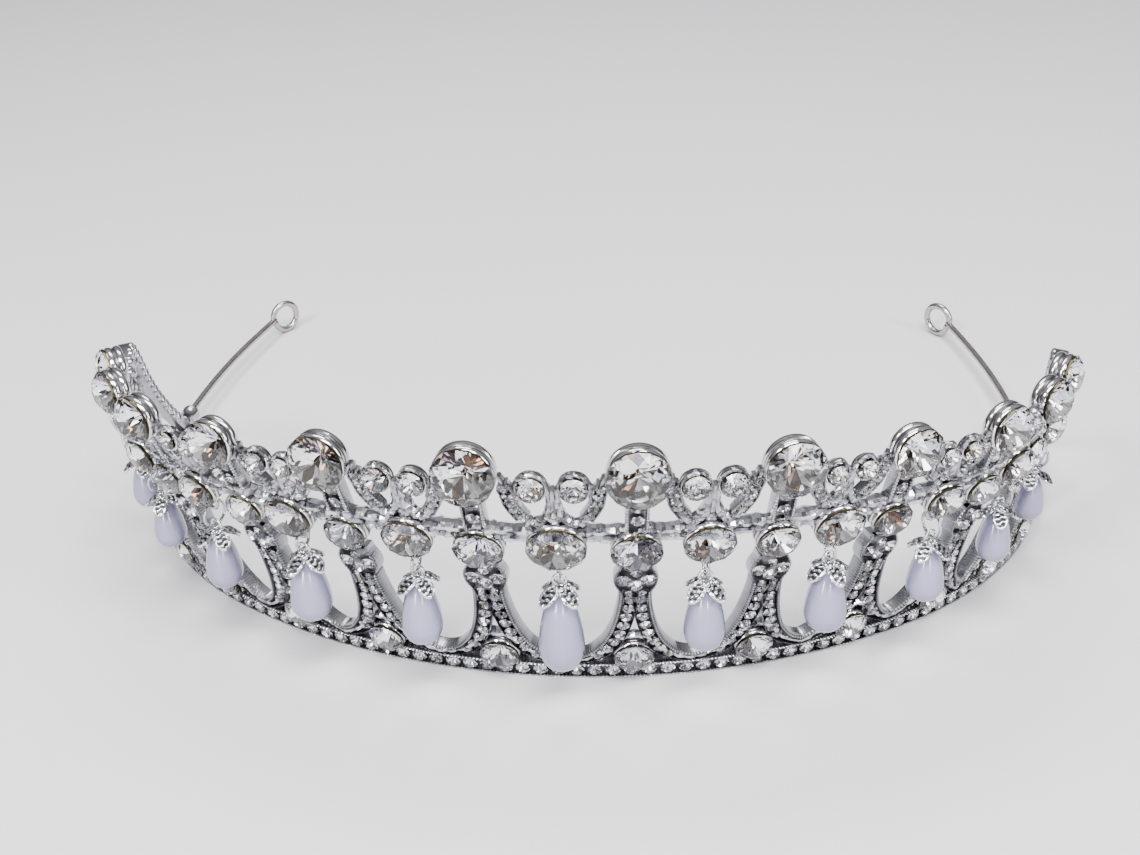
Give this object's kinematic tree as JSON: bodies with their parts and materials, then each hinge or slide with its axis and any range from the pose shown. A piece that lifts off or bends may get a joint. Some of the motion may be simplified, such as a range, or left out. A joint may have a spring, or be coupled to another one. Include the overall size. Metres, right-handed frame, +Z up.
{
  "type": "tiara",
  "caption": "Tiara of open bays with round stones, knots above them and pearl drops hanging free, on a curved openwork band that ends in spring wires with loops.",
  "frame": {"origin": "on the underside of the base band, below the middle of the front", "axes": "+X to the right seen from the front, -Y to the front, +Z up"},
  "size_m": [0.149, 0.125, 0.0444],
  "materials": {
    "setting_metal": "bright white plating over cast metal, darkened in the recesses",
    "leaf_metal": "grained plated leaves with bright rims",
    "wire_metal": "drawn spring wire",
    "stone": "clear cut stone with a silvered back",
    "pearl": "satin white imitation pearl"
  },
  "bodies": {
    "tiara": {"frame": "setting_metal", "top_stone_left_1": "stone", "top_stone_left_2": "stone", "top_stone_left_3": "stone", "top_stone_left_4": "stone", "top_stone_left_5": "stone", "top_stone_left_6": "stone", "end_wire_left": "wire_metal", "top_stone_right_1": "stone", "top_stone_right_2": "stone", "top_stone_right_3": "stone", "top_stone_right_4": "stone", "top_stone_right_5": "stone", "top_stone_right_6": "stone", "end_wire_right": "wire_metal", "bay_stone_centre": "stone", "bay_stone_left_1": "stone", "bay_stone_left_2": "stone", "bay_stone_left_3": "stone", "bay_stone_left_4": "stone", "bay_stone_left_5": "stone", "bay_stone_right_1": "stone", "bay_stone_right_2": "stone", "bay_stone_right_3": "stone", "bay_stone_right_4": "stone", "bay_stone_right_5": "stone"},
    "drop_centre": {"jump_ring_centre": "setting_metal", "leaf_cap_centre": "leaf_metal", "pearl_centre": "pearl"},
    "drop_left_1": {"jump_ring_left_1": "setting_metal", "leaf_cap_left_1": "leaf_metal", "pearl_left_1": "pearl"},
    "drop_left_2": {"jump_ring_left_2": "setting_metal", "leaf_cap_left_2": "leaf_metal", "pearl_left_2": "pearl"},
    "drop_left_3": {"jump_ring_left_3": "setting_metal", "leaf_cap_left_3": "leaf_metal", "pearl_left_3": "pearl"},
    "drop_left_4": {"jump_ring_left_4": "setting_metal", "leaf_cap_left_4": "leaf_metal", "pearl_left_4": "pearl"},
    "drop_left_5": {"jump_ring_left_5": "setting_metal", "leaf_cap_left_5": "leaf_metal", "pearl_left_5": "pearl"},
    "drop_right_1": {"jump_ring_right_1": "setting_metal", "leaf_cap_right_1": "leaf_metal", "pearl_right_1": "pearl"},
    "drop_right_2": {"jump_ring_right_2": "setting_metal", "leaf_cap_right_2": "leaf_metal", "pearl_right_2": "pearl"},
    "drop_right_3": {"jump_ring_right_3": "setting_metal", "leaf_cap_right_3": "leaf_metal", "pearl_right_3": "pearl"},
    "drop_right_4": {"jump_ring_right_4": "setting_metal", "leaf_cap_right_4": "leaf_metal", "pearl_right_4": "pearl"},
    "drop_right_5": {"jump_ring_right_5": "setting_metal", "leaf_cap_right_5": "leaf_metal", "pearl_right_5": "pearl"}
  },
  "joints": [
    {"name": "drop_centre_swing", "type": "hinge", "parent": "tiara", "child": "drop_centre", "pos_m": [0, -0.00822, 0.02301], "axis": [-1, 0, 0], "range_deg": [-60, 60]},
    {"name": "drop_left_1_swing", "type": "hinge", "parent": "tiara", "child": "drop_left_1", "pos_m": [-0.01819, -0.00663, 0.02313], "axis": [-0.9827, 0.185, 0], "range_deg": [-60, 60]},
    {"name": "drop_left_2_swing", "type": "hinge", "parent": "tiara", "child": "drop_left_2", "pos_m": [-0.03385, -0.00225, 0.02306], "axis": [-0.9388, 0.3445, 0], "range_deg": [-60, 60]},
    {"name": "drop_left_3_swing", "type": "hinge", "parent": "tiara", "child": "drop_left_3", "pos_m": [-0.04741, 0.0039, 0.02279], "axis": [-0.876, 0.4823, 0], "range_deg": [-60, 60]},
    {"name": "drop_left_4_swing", "type": "hinge", "parent": "tiara", "child": "drop_left_4", "pos_m": [-0.05793, 0.01279, 0.02236], "axis": [-0.774, 0.6332, 0], "range_deg": [-60, 60]},
    {"name": "drop_left_5_swing", "type": "hinge", "parent": "tiara", "child": "drop_left_5", "pos_m": [-0.06486, 0.02334, 0.02182], "axis": [-0.6232, 0.782, 0], "range_deg": [-60, 60]},
    {"name": "drop_right_1_swing", "type": "hinge", "parent": "tiara", "child": "drop_right_1", "pos_m": [0.01819, -0.00663, 0.02313], "axis": [-0.9827, -0.185, 0], "range_deg": [-60, 60]},
    {"name": "drop_right_2_swing", "type": "hinge", "parent": "tiara", "child": "drop_right_2", "pos_m": [0.03385, -0.00225, 0.02306], "axis": [-0.9388, -0.3445, 0], "range_deg": [-60, 60]},
    {"name": "drop_right_3_swing", "type": "hinge", "parent": "tiara", "child": "drop_right_3", "pos_m": [0.04741, 0.0039, 0.02279], "axis": [-0.876, -0.4823, 0], "range_deg": [-60, 60]},
    {"name": "drop_right_4_swing", "type": "hinge", "parent": "tiara", "child": "drop_right_4", "pos_m": [0.05793, 0.01279, 0.02236], "axis": [-0.774, -0.6332, 0], "range_deg": [-60, 60]},
    {"name": "drop_right_5_swing", "type": "hinge", "parent": "tiara", "child": "drop_right_5", "pos_m": [0.06486, 0.02334, 0.02182], "axis": [-0.6232, -0.782, 0], "range_deg": [-60, 60]}
  ]
}
